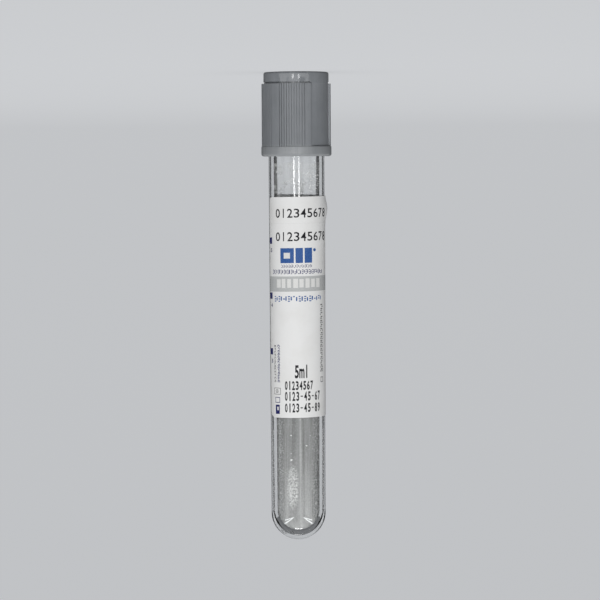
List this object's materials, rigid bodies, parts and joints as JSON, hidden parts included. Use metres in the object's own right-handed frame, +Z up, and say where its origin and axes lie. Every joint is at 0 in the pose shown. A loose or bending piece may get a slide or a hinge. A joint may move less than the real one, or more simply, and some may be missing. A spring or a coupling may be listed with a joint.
{
  "type": "blood collection tube",
  "caption": "Round-ended clear plastic sample tube, standing turned over on its ribbed grey closure, with a wrapped paper label and a dried additive coat on its bore.",
  "frame": {"origin": "bottom centre of the whole object's box, on the tube's axis in the plane of the cap's top face, which it stands on", "axes": "+Z up along the tube from the cap to the round end; -Y out of the label's front; +X to the label's left as it is read with the cap up"},
  "size_m": [0.016, 0.016, 0.107],
  "materials": {
    "clear_plastic": "clear polyester, polished outside",
    "cap_plastic": "grey moulded polyethylene, satin",
    "stopper_rubber": "dark grey moulded butyl rubber",
    "label_paper": null,
    "additive_powder": "dried white salt powder, speckled"
  },
  "bodies": {
    "cap_body": {"cap": "cap_plastic"},
    "stopper_body": {"stopper": "stopper_rubber"},
    "tube_body": {"tube": "clear_plastic", "label": "label_paper", "additive_film": "additive_powder"}
  },
  "joints": [
    {"name": "cap_twist", "type": "hinge", "parent": "cap_body", "child": "stopper_body", "pos_m": [0, 0, 0.007], "axis": [0, 0, 1], "continuous": true},
    {"name": "closure_pull", "type": "slide", "parent": "stopper_body", "child": "tube_body", "axis": [0, 0, 1], "range_m": [0, 0.03]}
  ]
}
